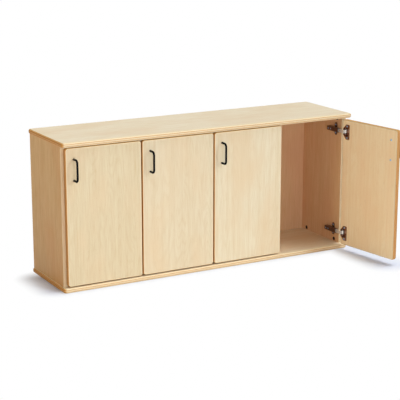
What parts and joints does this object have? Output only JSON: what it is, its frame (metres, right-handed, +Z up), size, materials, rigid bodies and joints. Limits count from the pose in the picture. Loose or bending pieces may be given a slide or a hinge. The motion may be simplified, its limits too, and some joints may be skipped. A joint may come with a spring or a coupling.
{
  "type": "storage locker unit",
  "caption": "Low wooden storage locker: compartments side by side between rounded slabs, each with an overlay door on concealed hinges and a black wire pull.",
  "frame": {"origin": "the middle of the bottom slab's underside, on the floor", "axes": "+X along the length, to the right as seen from the doors; +Y to the back, so the doors face -Y; +Z up"},
  "size_m": [1.2731, 0.5976, 0.546],
  "materials": {
    "maple_veneer": "maple veneer board with a clear satin lacquer",
    "door_maple": "maple veneer board, upright grain, clear satin lacquer",
    "back_board": "thin maple-faced board, matt lacquer",
    "black_wire": "black powder coat, satin",
    "nickel_plate": "nickel-plated pressed steel",
    "zinc_screw": "zinc-plated steel",
    "dark_housing": "dark brown moulded plastic"
  },
  "bodies": {
    "carcass": {"top_slab": "maple_veneer", "bottom_slab": "maple_veneer", "side_left": "maple_veneer", "side_right": "maple_veneer", "partition_1": "maple_veneer", "partition_2": "maple_veneer", "partition_3": "maple_veneer", "back_panel": "back_board", "connector_front_upper": "dark_housing", "connector_front_lower": "dark_housing", "connector_rear_upper": "dark_housing", "connector_rear_lower": "dark_housing", "hinge_arm_1_upper": "nickel_plate", "hinge_arm_1_lower": "nickel_plate", "hinge_arm_2_upper": "nickel_plate", "hinge_arm_2_lower": "nickel_plate", "hinge_arm_3_upper": "nickel_plate", "hinge_arm_3_lower": "nickel_plate", "hinge_arm_4_upper": "nickel_plate", "hinge_arm_4_lower": "nickel_plate", "hinge_plate_1_upper": "nickel_plate", "hinge_plate_1_lower": "nickel_plate", "hinge_plate_2_upper": "nickel_plate", "hinge_plate_2_lower": "nickel_plate", "hinge_plate_3_upper": "nickel_plate", "hinge_plate_3_lower": "nickel_plate", "hinge_plate_4_upper": "nickel_plate", "hinge_plate_4_lower": "nickel_plate"},
    "door_leaf_1": {"door_1": "door_maple", "pull_1": "black_wire", "pull_screw_1_upper": "zinc_screw", "pull_screw_1_lower": "zinc_screw", "hinge_cup_1_upper": "nickel_plate", "hinge_cup_1_lower": "nickel_plate"},
    "door_leaf_2": {"door_2": "door_maple", "pull_2": "black_wire", "pull_screw_2_upper": "zinc_screw", "pull_screw_2_lower": "zinc_screw", "hinge_cup_2_upper": "nickel_plate", "hinge_cup_2_lower": "nickel_plate"},
    "door_leaf_3": {"door_3": "door_maple", "pull_3": "black_wire", "pull_screw_3_upper": "zinc_screw", "pull_screw_3_lower": "zinc_screw", "hinge_cup_3_upper": "nickel_plate", "hinge_cup_3_lower": "nickel_plate"},
    "door_leaf_4": {"door_4": "door_maple", "pull_4": "black_wire", "pull_screw_4_upper": "zinc_screw", "pull_screw_4_lower": "zinc_screw", "hinge_cup_4_upper": "nickel_plate", "hinge_cup_4_lower": "nickel_plate"},
    "links_1": {"hinge_link_1_upper": "nickel_plate", "hinge_link_1_lower": "nickel_plate"},
    "links_2": {"hinge_link_2_upper": "nickel_plate", "hinge_link_2_lower": "nickel_plate"},
    "links_3": {"hinge_link_3_upper": "nickel_plate", "hinge_link_3_lower": "nickel_plate"},
    "links_4": {"hinge_link_4_upper": "nickel_plate", "hinge_link_4_lower": "nickel_plate"}
  },
  "joints": [
    {"name": "door_1_swing", "type": "hinge", "parent": "carcass", "child": "door_leaf_1", "pos_m": [-0.29925, -0.151, 0.273], "axis": [0, 0, 1], "range_deg": [0, 110]},
    {"name": "door_2_swing", "type": "hinge", "parent": "carcass", "child": "door_leaf_2", "pos_m": [-0.002, -0.151, 0.273], "axis": [0, 0, 1], "range_deg": [0, 110]},
    {"name": "door_3_swing", "type": "hinge", "parent": "carcass", "child": "door_leaf_3", "pos_m": [0.29525, -0.151, 0.273], "axis": [0, 0, 1], "range_deg": [0, 110]},
    {"name": "door_4_swing", "type": "hinge", "parent": "carcass", "child": "door_leaf_4", "pos_m": [0.5925, -0.151, 0.273], "axis": [0, 0, 1], "range_deg": [-98, 12]},
    {"name": "links_1_turn", "type": "hinge", "parent": "door_leaf_1", "child": "links_1", "pos_m": [-0.30925, -0.1392, 0.273], "axis": [0, 0, 1], "range_deg": [-104, 1]},
    {"name": "links_2_turn", "type": "hinge", "parent": "door_leaf_2", "child": "links_2", "pos_m": [-0.012, -0.1392, 0.273], "axis": [0, 0, 1], "range_deg": [-104, 1]},
    {"name": "links_3_turn", "type": "hinge", "parent": "door_leaf_3", "child": "links_3", "pos_m": [0.28525, -0.1392, 0.273], "axis": [0, 0, 1], "range_deg": [-104, 1]},
    {"name": "links_4_turn", "type": "hinge", "parent": "door_leaf_4", "child": "links_4", "pos_m": [0.58221, -0.16254, 0.273], "axis": [0, 0, 1], "range_deg": [-12, 93]}
  ],
  "couplings": [
    {"joint": "links_1_turn", "follows": "door_1_swing", "ratio": -0.94},
    {"joint": "links_2_turn", "follows": "door_2_swing", "ratio": -0.94},
    {"joint": "links_3_turn", "follows": "door_3_swing", "ratio": -0.94},
    {"joint": "links_4_turn", "follows": "door_4_swing", "ratio": -0.94}
  ]
}
